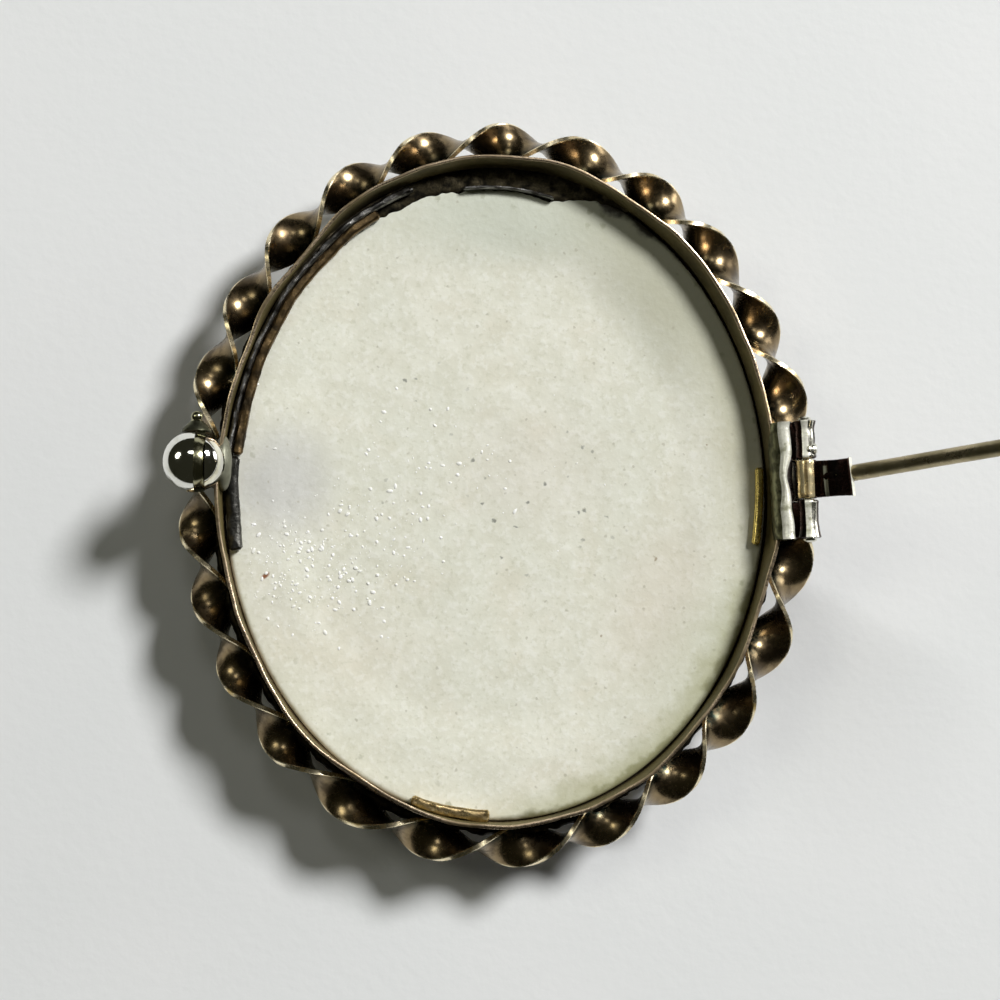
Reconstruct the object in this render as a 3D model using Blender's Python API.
"""An oval porcelain portrait brooch, lying face down with its pin stem swung open.

Metres, +Z up. The origin is the crown of the domed front, on which the brooch rests. +Y is the
portrait's top, and +X is the side of the hinge.
"""

import math

import bmesh
import bpy
import numpy as np
from mathutils import Matrix, Vector

# Porcelain plaque
DOME_RISE = 0.0032
EDGE_THICKNESS = 0.0018
EDGE_ROUND = 0.00035
REST_FLAT = 0.0025
DISH_DEPTH = 0.00015
DISH_BORDER = 0.0026
PLAQUE_GAP = 0.0002

# Bezel band, measured over its outer wall
OVAL_WIDTH = 0.0331
OVAL_LENGTH = 0.0397
BAND_WALL = 0.00036
RIM_STAND = 0.0020
LIP_WIDTH = 0.00095
LIP_THICKNESS = 0.00035
LIP_SLOPE = 0.00025
SEAT_GAP = 0.00008
OVAL_SIDES = 96

# Twisted border: counts are in half turns, clockwise from the top as seen from the back
HALF_TURNS = 25
STRIP_WIDTH = 0.00246
STRIP_THICKNESS = 0.0005
STRIP_DROP = 0.0025
STRIP_STEPS = 10
TWIST_START = 0.15
TWIST_SLIP = 0.36
SLIP_MIDDLE = 15.8
SLIP_SPREAD = 2.7
SOLDER_BITE = 0.0001

# Hinge, on the rim at the right
HINGE_OUT = 0.00152
HINGE_SIDE = 0.0006
HINGE_LIFT = 0.00075
HINGE_LENGTH = 0.0069
HINGE_LEAN = math.radians(2.4)
KNUCKLE_RADIUS = 0.00062
KNUCKLE_GAP = 0.0001
MIDDLE_KNUCKLE = 0.00224
SADDLE_RADIUS = 0.0007
RIVET_RADIUS = 0.00027
RIVET_HEAD = 0.00044
RIVET_HEAD_LENGTH = 0.00022
RUNNING_GAP = 0.00006

# Pin stem
STEM_RADIUS = 0.000475
STEM_OPEN = math.radians(42)
TAB_LENGTH = 0.0029
TAB_WIDTH = 0.0022
TAB_THICKNESS = 0.0005
TAB_ROUND = 0.0001
SLEEVE_WALL = 0.000125
TAPER_LENGTH = 0.005
TIP_PAST_CATCH = 0.0011

# Ball catch, on the rim at the left
CATCH_OUT = 0.0013
CATCH_SIDE = 0.0015
CATCH_LIFT = 0.0007
CATCH_RADIUS = 0.00178
CATCH_WALL = 0.00036
CATCH_FOOT = 0.0033
FOOT_STAND = 0.00012
POST_RADIUS = 0.0008
PIN_CLEARANCE = 0.00013
LEVER_SLOT = 0.0006
LEVER_TURN = math.radians(160)
ROTOR_GAP = 0.00008
NUB_RADIUS = 0.0008
NUB_TIP = 0.00022
NUB_HEIGHT = 0.0008
NUB_BALL = 0.00027

# Retaining pieces on the porcelain's edge, inside the band
CLIP_HEIGHT = 0.0006
CLIP_ROUND = 0.00012
CLIP_STEPS = 4
WIRE_RADIUS = 0.00037
WIRE_INSET = 0.00075
WIRE_GAP = 0.0003
# clip: angle of its middle (degrees clockwise from the top), length, width, distance from the wall
CLIPS = {
    "top": {"angle": 2.0, "length": 0.0050, "width": 0.00055, "inset": 0.00125},
    "right": {"angle": 92.0, "length": 0.0044, "width": 0.00052, "inset": 0.0006},
    "bottom": {"angle": 189.5, "length": 0.0047, "width": 0.00060, "inset": 0.00015},
    "left": {"angle": 267.0, "length": 0.0052, "width": 0.00075, "inset": 0.0001},
}

# Heights and places that follow from the sizes above
PLAQUE_BACK = DOME_RISE + EDGE_THICKNESS
RIM_TOP = PLAQUE_BACK + RIM_STAND
HALF_WIDTH = OVAL_WIDTH / 2
HALF_LENGTH = OVAL_LENGTH / 2
BORE_RADIUS = STEM_RADIUS + PIN_CLEARANCE
SLEEVE_RADIUS = STEM_RADIUS + SLEEVE_WALL
FULL_TURN = 2 * math.pi
MERGE = 1e-6


# Oval curves. An angle runs clockwise from the top, and an offset is outward from the band's wall.
def oval_point(angle, offset):
    point = Vector((HALF_WIDTH * math.sin(angle), HALF_LENGTH * math.cos(angle)))
    normal = Vector((point.x / HALF_WIDTH**2, point.y / HALF_LENGTH**2)).normalized()
    return point + offset * normal


def even_angles(offset, count):
    """Angles that cut the offset oval into stretches of equal length, first and last at the top."""
    fine = np.linspace(0, FULL_TURN, 40 * count + 1)
    points = np.array([oval_point(angle, offset) for angle in fine])
    lengths = np.hypot(*np.diff(points, axis=0).T)
    run = np.concatenate([[0], np.cumsum(lengths)])
    return np.interp(np.linspace(0, run[-1], count + 1), run, fine)


def angle_over(angle, length):
    """The angle that a length of the oval takes up near an angle."""
    return length / math.hypot(HALF_WIDTH * math.cos(angle), HALF_LENGTH * math.sin(angle))


def wall_at(side, y):
    """x of the band's outer wall at height y on the right (side 1) or left (side -1)."""
    return side * HALF_WIDTH * math.sqrt(1 - (y / HALF_LENGTH) ** 2)


# Mesh helpers
def material(name, colour, metallic, roughness):
    made = bpy.data.materials.new(name)
    made.use_nodes = True
    made.diffuse_color = (*colour, 1)
    shader = made.node_tree.nodes["Principled BSDF"]
    shader.inputs["Base Color"].default_value = (*colour, 1)
    shader.inputs["Metallic"].default_value = metallic
    shader.inputs["Roughness"].default_value = roughness
    return made


def object_from(bm, name, group, finish=None):
    bmesh.ops.recalc_face_normals(bm, faces=bm.faces)
    mesh = bpy.data.meshes.new(name)
    bm.to_mesh(mesh)
    bm.free()
    mesh.shade_smooth()
    mesh.set_sharp_from_angle(angle=math.radians(35))
    made = bpy.data.objects.new(name, mesh)
    group.objects.link(made)
    if finish:
        mesh.materials.append(finish)
    return made


def as_cutter(made):
    made.hide_render = True
    made.display_type = "WIRE"
    return made


def boolean(target, operation, other):
    modifier = target.modifiers.new(f"{operation.lower()} {other.name}", "BOOLEAN")
    modifier.operation = operation
    modifier.solver = "EXACT"
    modifier.object = as_cutter(other)


def skin(columns, rows, place):
    """A grid wrapped into a closed skin: its edges that meet are merged, and open ends are filled."""
    bm = bmesh.new()
    bmesh.ops.create_grid(bm, x_segments=columns, y_segments=rows, size=0.5)
    for vert in bm.verts:
        column, row = round((vert.co.x + 0.5) * columns), round((vert.co.y + 0.5) * rows)
        vert.co = place(column % columns, row)
    bmesh.ops.remove_doubles(bm, verts=bm.verts, dist=MERGE)
    open_ends = [edge for edge in bm.edges if edge.is_boundary]
    bmesh.ops.holes_fill(bm, edges=open_ends, sides=0)
    return bm


def rod(bm, radius, length, centre, sides=16, axis="Y"):
    """A cylinder along X, Y or Z, centred on a point."""
    turn = {"X": Matrix.Rotation(math.pi / 2, 4, "Y"), "Y": Matrix.Rotation(math.pi / 2, 4, "X")}
    bmesh.ops.create_cone(
        bm,
        cap_ends=True,
        segments=sides,
        radius1=radius,
        radius2=radius,
        depth=length,
        matrix=Matrix.Translation(centre) @ turn.get(axis, Matrix()),
    )


def block(bm, low, high):
    """A box between two corners."""
    low, high = Vector(low), Vector(high)
    place = Matrix.Translation((low + high) / 2) @ Matrix.Diagonal((*(high - low), 1))
    return bmesh.ops.create_cube(bm, size=1, matrix=place)["verts"]


def sphere(bm, radius, sides, centre=(0, 0, 0)):
    """A ball whose poles lie on its X axis, where the pin's bore goes."""
    place = Matrix.Translation(centre) @ Matrix.Rotation(math.pi / 2, 4, "Y")
    bmesh.ops.create_uvsphere(bm, u_segments=sides, v_segments=sides // 2, radius=radius, matrix=place)


# Porcelain
def porcelain_plaque(group, finish):
    """Domed front down, with a worn flat at its crown, and a dished back inside a raised border."""
    edge = -BAND_WALL - PLAQUE_GAP
    half = HALF_WIDTH + edge
    flat = REST_FLAT / half
    rounded = 1 - EDGE_ROUND / half
    section = []
    for share in (flat, 0.3, 0.45, 0.6, 0.72, 0.83, 0.92, rounded):
        section.append((share, DOME_RISE * (share**2 - flat**2) / (1 - flat**2)))
    section.append((1, DOME_RISE + EDGE_ROUND))
    section.append((1, PLAQUE_BACK - EDGE_ROUND))
    section.append((rounded, PLAQUE_BACK))
    section.append((1 - DISH_BORDER / half, PLAQUE_BACK))
    section.append((1 - 2 * DISH_BORDER / half, PLAQUE_BACK - DISH_DEPTH))

    def place(column, row):
        share, height = section[row]
        spot = oval_point(FULL_TURN * column / OVAL_SIDES, edge) * share
        return (*spot, height)

    bm = skin(OVAL_SIDES, len(section) - 1, place)
    return object_from(bm, "porcelain_plaque", group, finish)


# Soldered frame
def bezel_band(group, finish):
    """A thin oval wall with a lip turned in at the front, under the dome's edge."""
    seat = DOME_RISE - SEAT_GAP
    inner_seat = seat - LIP_SLOPE
    section = [
        (0, RIM_TOP),
        (0, seat - LIP_THICKNESS / 2),
        (-LIP_THICKNESS / 2, seat - LIP_THICKNESS),
        (-LIP_WIDTH - BAND_WALL, inner_seat - LIP_THICKNESS),
        (-LIP_WIDTH - BAND_WALL, inner_seat - SEAT_GAP),
        (-BAND_WALL, seat - SEAT_GAP),
        (-BAND_WALL, RIM_TOP),
    ]

    def place(column, row):
        offset, height = section[row % len(section)]
        return (*oval_point(FULL_TURN * column / OVAL_SIDES, offset), height)

    bm = skin(OVAL_SIDES, len(section), place)
    return object_from(bm, "bezel_frame", group, finish)


def strip_tilt(count):
    """The strip's turn after a count of half turns. The hand-twisted pitch slips at the lower left."""
    slip = TWIST_SLIP * math.exp(-(((count - SLIP_MIDDLE) / SLIP_SPREAD) ** 2))
    return math.pi * (TWIST_START + slip - count)


def twisted_border(group):
    """A flat strip twisted round its own middle line, which runs round the band and joins itself."""
    offset = STRIP_WIDTH / 2 - SOLDER_BITE
    steps = HALF_TURNS * STRIP_STEPS
    outline = bpy.data.curves.new("strip section", "CURVE")
    outline.dimensions = "2D"
    corners = outline.splines.new("POLY")
    corners.points.add(3)
    corners.use_cyclic_u = True
    for point, (across, up) in zip(corners.points, ((1, 1), (-1, 1), (-1, -1), (1, -1))):
        point.co = (across * STRIP_WIDTH / 2, up * STRIP_THICKNESS / 2, 0, 1)
    section = as_cutter(bpy.data.objects.new("strip section", outline))
    group.objects.link(section)

    path = bpy.data.curves.new("twisted border", "CURVE")
    path.dimensions = "3D"
    path.twist_mode = "Z_UP"
    path.bevel_mode = "OBJECT"
    path.bevel_object = section
    line = path.splines.new("POLY")
    line.points.add(steps)
    for step, (point, angle) in enumerate(zip(line.points, even_angles(offset, steps))):
        point.co = (*oval_point(angle, offset), RIM_TOP - STRIP_DROP, 1)
        point.tilt = strip_tilt(step / STRIP_STEPS)
    curve = bpy.data.objects.new("twisted border", path)
    group.objects.link(curve)
    graph = bpy.context.evaluated_depsgraph_get()
    mesh = bpy.data.meshes.new_from_object(curve.evaluated_get(graph))
    bpy.data.objects.remove(curve)
    bm = bmesh.new()
    bm.from_mesh(mesh)
    bmesh.ops.remove_doubles(bm, verts=bm.verts, dist=STRIP_THICKNESS / 4)
    return object_from(bm, "border strip", group)


def hinge_place():
    """The hinge's frame: X out from the band, Y along the hinge's axis, Z up."""
    out = wall_at(1, HINGE_SIDE) + HINGE_OUT
    place = Matrix.Translation((out, HINGE_SIDE, RIM_TOP + HINGE_LIFT))
    return place @ Matrix.Rotation(HINGE_LEAN, 4, "Z")


def hinge_base(group):
    """A rounded saddle over the rim, a web out to the axis, and two fixed knuckles."""
    apart = KNUCKLE_RADIUS + SADDLE_RADIUS + KNUCKLE_GAP
    saddle = math.sqrt(apart**2 - SADDLE_RADIUS**2)
    down = -HINGE_LIFT - SADDLE_RADIUS
    side = MIDDLE_KNUCKLE / 2 + KNUCKLE_GAP
    knuckle = HINGE_LENGTH / 2 - side
    bodies = []

    bm = bmesh.new()
    rod(bm, SADDLE_RADIUS, HINGE_LENGTH, (-saddle, 0, -SADDLE_RADIUS), sides=20)
    bodies.append(object_from(bm, "hinge saddle", group))
    bm = bmesh.new()
    reach = HINGE_LENGTH / 2 - SOLDER_BITE
    block(
        bm,
        (-saddle - SADDLE_RADIUS + SOLDER_BITE, -reach, down),
        (-KNUCKLE_RADIUS - KNUCKLE_GAP - SOLDER_BITE, reach, -SADDLE_RADIUS),
    )
    bodies.append(object_from(bm, "hinge plate", group))
    for end in (-1, 1):
        middle = end * (side + knuckle / 2)
        bm = bmesh.new()
        rod(bm, KNUCKLE_RADIUS, knuckle, (0, middle, 0))
        bodies.append(object_from(bm, "fixed knuckle", group))
        bm = bmesh.new()
        half = knuckle / 2 - SOLDER_BITE
        block(
            bm,
            (-saddle, middle - half, -KNUCKLE_RADIUS + SOLDER_BITE),
            (0, middle + half, -SOLDER_BITE),
        )
        bodies.append(object_from(bm, "knuckle web", group))
    for body in bodies:
        body.matrix_world = hinge_place()
    return bodies


def hinge_bore(group, length):
    bm = bmesh.new()
    rod(bm, RIVET_RADIUS + RUNNING_GAP, length, (0, 0, 0))
    return object_from(bm, "rivet bore", group)


def catch_place():
    """The catch's frame: X along the closed stem towards the hinge, Z up. Its middle is the ball's."""
    out = wall_at(-1, CATCH_SIDE) - CATCH_OUT
    centre = Vector((out, CATCH_SIDE, RIM_TOP + CATCH_LIFT))
    towards_hinge = closed_stem_direction(centre) * -1
    turn = towards_hinge.to_track_quat("X", "Z").to_matrix().to_4x4()
    return Matrix.Translation(centre) @ turn


def stem_offset():
    """How far the stem's middle line passes from the hinge's axis, so that its sleeve clears the saddle."""
    return SLEEVE_RADIUS + KNUCKLE_GAP


def closed_stem(centre):
    """The stem's lean along the hinge's axis and its slope when it is closed through the catch."""
    reach = hinge_place().inverted() @ centre
    lean = math.asin(reach.y / math.hypot(reach.x, reach.y))
    across = math.hypot(reach.x, reach.z)
    slope = math.asin(stem_offset() / across) - math.atan2(reach.z, -reach.x)
    return lean, slope


def closed_stem_direction(centre):
    lean, slope = closed_stem(centre)
    line = Vector((-math.cos(slope) * math.cos(lean), math.sin(lean), -math.sin(slope) * math.cos(lean)))
    return hinge_place().to_3x3() @ line


def catch_shell(group):
    """A hollow ball with the stem's bore, the mouth above it and the lever's slot across."""
    bm = bmesh.new()
    sphere(bm, CATCH_RADIUS, 24)
    shell = object_from(bm, "catch ball", group)
    inside = bmesh.new()
    sphere(inside, CATCH_RADIUS - CATCH_WALL, 24)
    boolean(shell, "DIFFERENCE", object_from(inside, "catch hollow", group))
    boolean(shell, "DIFFERENCE", stem_passage(group, "catch passage"))
    boolean(shell, "DIFFERENCE", lever_slot(group))
    place_with_cutters(shell, catch_place())
    return shell


def stem_passage(group, name):
    """The bore along the stem and the mouth that lets the stem in from above, as one cutter."""
    bm = bmesh.new()
    rod(bm, BORE_RADIUS, 4 * CATCH_RADIUS, (0, 0, 0), axis="X")
    passage = object_from(bm, name, group)
    bm = bmesh.new()
    mouth = BORE_RADIUS - ROTOR_GAP / 4
    block(bm, (-2 * CATCH_RADIUS, -mouth, 0), (2 * CATCH_RADIUS, mouth, 2 * CATCH_RADIUS))
    boolean(passage, "UNION", object_from(bm, name + " mouth", group))
    return passage


def lever_slot(group):
    bm = bmesh.new()
    half, far = LEVER_SLOT / 2, 2 * CATCH_RADIUS
    block(bm, (-half, -far, -LEVER_SLOT / 2 - ROTOR_GAP), (half, far, far))
    return object_from(bm, "lever slot", group)


def place_with_cutters(made, place):
    """Puts an object and everything its Booleans use at one place."""
    made.matrix_world = place
    for modifier in made.modifiers:
        if modifier.type == "BOOLEAN":
            place_with_cutters(modifier.object, place)


def catch_foot(group):
    """The solder strip along the rim and the post down to the border, both below the stem's bore."""
    centre = catch_place().translation
    bodies = []
    bm = bmesh.new()
    wall = wall_at(-1, CATCH_SIDE)
    top = RIM_TOP + FOOT_STAND
    block(
        bm,
        (wall - SOLDER_BITE, CATCH_SIDE - CATCH_FOOT / 2, RIM_TOP - CATCH_RADIUS / 2),
        (wall + BAND_WALL + SOLDER_BITE, CATCH_SIDE + CATCH_FOOT / 2, top),
    )
    bodies.append(object_from(bm, "catch foot", group))
    bm = bmesh.new()
    high = centre.z - CATCH_RADIUS + CATCH_WALL / 2
    low = RIM_TOP - STRIP_DROP
    rod(bm, POST_RADIUS, high - low, (centre.x, centre.y, (high + low) / 2), axis="Z")
    bodies.append(object_from(bm, "catch post", group))
    return bodies


def bezel_frame(group, helpers, finish):
    """Band, twisted border, hinge base and catch shell, soldered into one solid."""
    frame = bezel_band(group, finish)
    pieces = [twisted_border(helpers), *hinge_base(helpers), *catch_foot(helpers), catch_shell(helpers)]
    for piece in pieces:
        boolean(frame, "UNION", piece)
    bore = hinge_bore(helpers, 2 * HINGE_LENGTH)
    bore.matrix_world = hinge_place()
    boolean(frame, "DIFFERENCE", bore)
    return frame


def hinge_rivet(group, finish):
    """A headed rivet through the knuckles."""
    bm = bmesh.new()
    half = HINGE_LENGTH / 2 + RUNNING_GAP
    section = [(0, half + RIVET_HEAD_LENGTH), (RIVET_HEAD, half + RIVET_HEAD_LENGTH), (RIVET_HEAD, half)]
    section += [(RIVET_RADIUS, half), (RIVET_RADIUS, -half), (RIVET_HEAD, -half)]
    section += [(RIVET_HEAD, -half - RIVET_HEAD_LENGTH), (0, -half - RIVET_HEAD_LENGTH)]
    verts = [bm.verts.new((radius, along, 0)) for radius, along in section]
    edges = [bm.edges.new(pair) for pair in zip(verts, verts[1:])]
    bmesh.ops.spin(
        bm, geom=verts + edges, cent=(0, 0, 0), axis=(0, 1, 0), angle=FULL_TURN, steps=16, use_merge=True
    )
    bmesh.ops.remove_doubles(bm, verts=bm.verts, dist=RUNNING_GAP / 10)
    rivet = object_from(bm, "hinge_rivet", group, finish)
    rivet.matrix_world = hinge_place()
    return rivet


# Moving pieces
def pin_stem(group, helpers, finish):
    """Knuckle, folded tab and pointed wire, built lying along +X and then swung up to rest."""
    hinge = bpy.data.objects.new("hinge_axis", None)
    group.objects.link(hinge)
    hinge.matrix_world = hinge_place()
    centre = catch_place().translation
    lean, _ = closed_stem(centre)
    reach = (hinge_place().inverted() @ centre).length
    length = reach + CATCH_RADIUS + TIP_PAST_CATCH
    low = -stem_offset() - TAB_THICKNESS / 2
    turn = Matrix.Rotation(lean, 4, "Z")

    bm = bmesh.new()
    rod(bm, KNUCKLE_RADIUS, MIDDLE_KNUCKLE, (0, 0, 0))
    stem = object_from(bm, "pin_stem", group, finish)

    bm = bmesh.new()
    block(bm, (0, -TAB_WIDTH / 2, low), (TAB_LENGTH, TAB_WIDTH / 2, low + TAB_THICKNESS))
    bmesh.ops.bevel(
        bm, geom=list(bm.edges), offset=TAB_ROUND, offset_type="OFFSET", segments=1, profile=0.5,
        affect="EDGES", material=-1,
    )
    tab = object_from(bm, "stem tab", helpers)
    bm = bmesh.new()
    sleeve_start = KNUCKLE_RADIUS / 2
    sleeve_end = TAB_LENGTH - TAB_ROUND
    middle = ((sleeve_start + sleeve_end) / 2, 0, -stem_offset())
    rod(bm, SLEEVE_RADIUS, sleeve_end - sleeve_start, middle, axis="X")
    sleeve = object_from(bm, "stem sleeve", helpers)

    bm = bmesh.new()
    start = TAB_LENGTH / 2
    section = [(start, 0), (start, STEM_RADIUS), (length - TAPER_LENGTH, STEM_RADIUS)]
    for share in (0.3, 0.6, 0.85, 1):
        section.append((length - TAPER_LENGTH * (1 - share), STEM_RADIUS * (1 - share**2)))
    verts = [bm.verts.new((along, radius, 0)) for along, radius in section]
    edges = [bm.edges.new(pair) for pair in zip(verts, verts[1:])]
    bmesh.ops.spin(
        bm, geom=verts + edges, cent=(0, 0, 0), axis=(1, 0, 0), angle=FULL_TURN, steps=12, use_merge=True
    )
    bmesh.ops.remove_doubles(bm, verts=bm.verts, dist=RUNNING_GAP / 10)
    bmesh.ops.translate(bm, verts=bm.verts, vec=(0, 0, -stem_offset()))
    wire = object_from(bm, "stem wire", helpers)

    bore = hinge_bore(helpers, 2 * MIDDLE_KNUCKLE)
    for operation, piece in (("UNION", tab), ("UNION", sleeve), ("UNION", wire), ("DIFFERENCE", bore)):
        boolean(stem, operation, piece)
    swing = Matrix.Rotation(-STEM_OPEN, 4, "Y")
    stem.parent = hinge
    stem.matrix_local = swing
    for piece in (tab, sleeve, wire):
        piece.parent = hinge
        piece.matrix_local = swing @ turn
    bore.parent = hinge
    bore.matrix_local = swing
    return stem


def catch_lever(group, helpers, finish):
    """A rotor with the stem's passage through it, and a thumb nub on a neck out through the slot.

    It rests locked: its passage comes under the shell's mouth when the nub has turned over the top.
    """
    bm = bmesh.new()
    sphere(bm, CATCH_RADIUS - CATCH_WALL - ROTOR_GAP, 20)
    rotor = object_from(bm, "catch_lever", group, finish)
    passage = stem_passage(helpers, "rotor passage")
    boolean(rotor, "DIFFERENCE", passage)

    half = LEVER_SLOT / 2 - ROTOR_GAP
    base = CATCH_RADIUS + ROTOR_GAP
    bm = bmesh.new()
    block(bm, (-half, BORE_RADIUS + SOLDER_BITE, -half), (half, base + NUB_HEIGHT / 2, half))
    boolean(rotor, "UNION", object_from(bm, "lever neck", helpers))
    bm = bmesh.new()
    bmesh.ops.create_cone(
        bm, cap_ends=True, segments=16, radius1=NUB_RADIUS, radius2=NUB_TIP, depth=NUB_HEIGHT,
        matrix=Matrix.Translation((0, base + NUB_HEIGHT / 2, 0)) @ Matrix.Rotation(-math.pi / 2, 4, "X"),
    )
    boolean(rotor, "UNION", object_from(bm, "lever nub", helpers))
    bm = bmesh.new()
    sphere(bm, NUB_BALL, 12, centre=(0, base + NUB_HEIGHT + NUB_TIP / 2, 0))
    boolean(rotor, "UNION", object_from(bm, "nub ball", helpers))
    place_with_cutters(rotor, catch_place())
    place_with_cutters(passage, catch_place() @ Matrix.Rotation(-LEVER_TURN, 4, "X"))
    return rotor


# Retaining pieces
def retaining_clip(name, clip, group, finish):
    """A short bar bent to the oval, lying on the porcelain's edge."""
    middle = -BAND_WALL - clip["inset"] - clip["width"] / 2
    angle = math.radians(clip["angle"])
    half = angle_over(angle, clip["length"] / 2)
    low = PLAQUE_BACK + SEAT_GAP
    width, high = clip["width"], low + CLIP_HEIGHT
    section = [
        (-width / 2, low), (width / 2, low), (width / 2, high - CLIP_ROUND),
        (width / 2 - CLIP_ROUND, high), (CLIP_ROUND - width / 2, high), (-width / 2, high - CLIP_ROUND),
    ]

    def place(column, row):
        across, height = section[column]
        along = half * (2 * row / CLIP_STEPS - 1)
        return (*oval_point(angle + along, middle + across), height)

    bm = skin(len(section), CLIP_STEPS, place)
    return object_from(bm, "retaining_clip_" + name, group, finish)


def retaining_wire(group, finish):
    """A round wire along the upper left of the porcelain's edge, from the left clip to the top one."""
    middle = -BAND_WALL - WIRE_INSET - WIRE_RADIUS
    start, end = (clip_end(name, side) for name, side in (("left", 1), ("top", -1)))
    path = bpy.data.curves.new("retaining_wire", "CURVE")
    path.dimensions = "3D"
    path.bevel_depth = WIRE_RADIUS
    path.bevel_resolution = 2
    path.use_fill_caps = True
    line = path.splines.new("POLY")
    line.points.add(24)
    for point, angle in zip(line.points, np.linspace(start, end + FULL_TURN, len(line.points))):
        height = PLAQUE_BACK + SEAT_GAP + WIRE_RADIUS
        point.co = (*oval_point(angle, middle), height, 1)
    wire = bpy.data.objects.new("retaining_wire", path)
    path.materials.append(finish)
    group.objects.link(wire)
    return wire


def clip_end(name, side):
    """The angle just past a clip's end, where the wire may start or stop."""
    clip = CLIPS[name]
    angle = math.radians(clip["angle"])
    return angle + side * angle_over(angle, clip["length"] / 2 + WIRE_GAP)


def build():
    for old in list(bpy.data.objects):
        bpy.data.objects.remove(old)
    group = bpy.data.collections.new("porcelain portrait brooch")
    helpers = bpy.data.collections.new("cutters")
    for made in (group, helpers):
        bpy.context.scene.collection.children.link(made)

    porcelain = material("porcelain", (0.74, 0.74, 0.66), 0, 0.35)
    bronze = material("aged gilt bronze", (0.42, 0.30, 0.17), 1, 0.3)
    dark_metal = material("tarnished metal", (0.20, 0.17, 0.14), 1, 0.45)
    nickel = material("nickel", (0.62, 0.60, 0.55), 1, 0.18)
    steel = material("stem steel", (0.40, 0.37, 0.31), 1, 0.3)

    porcelain_plaque(group, porcelain)
    bezel_frame(group, helpers, bronze)
    hinge_rivet(group, nickel)
    pin_stem(group, helpers, steel)
    catch_lever(group, helpers, nickel)
    for name, clip in CLIPS.items():
        retaining_clip(name, clip, group, dark_metal if name in ("top", "left") else bronze)
    retaining_wire(group, dark_metal)


build()
